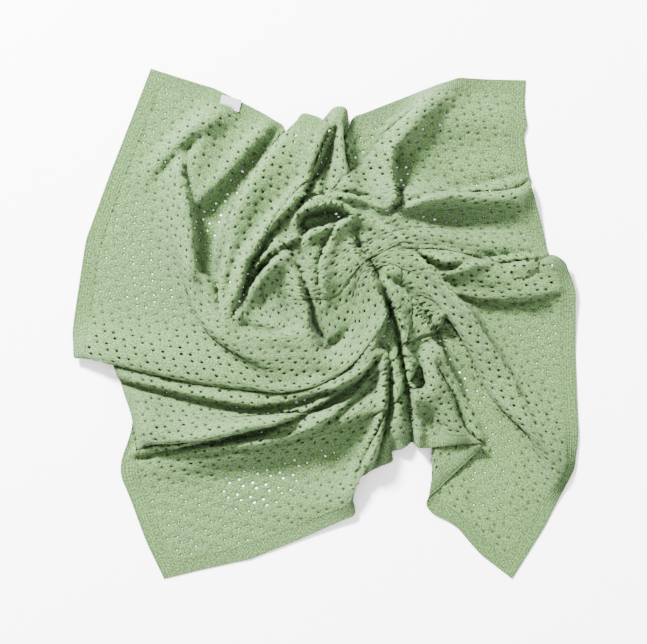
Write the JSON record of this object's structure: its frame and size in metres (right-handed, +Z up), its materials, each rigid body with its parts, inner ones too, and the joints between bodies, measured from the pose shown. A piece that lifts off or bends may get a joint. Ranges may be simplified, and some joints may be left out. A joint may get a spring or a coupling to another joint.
{
  "type": "swaddle blanket",
  "caption": "Eyelet-knit cotton swaddle blanket laid on a surface with its middle turned into a swirl of folds, ribbed border and a small blank woven label.",
  "frame": {"origin": "on the surface that the blanket lies on, under the middle of its bounding box", "axes": "+Z up out of the surface, +Y towards the hem that carries the label, +X to the right as seen from above"},
  "size_m": [0.7382, 0.744, 0.0797],
  "materials": {
    "yarn": "matte sage green knitted cotton",
    "label_cloth": "matte pale grey woven tape"
  },
  "bodies": {
    "root": {"blanket": "yarn", "label": "label_cloth"}
  },
  "joints": []
}
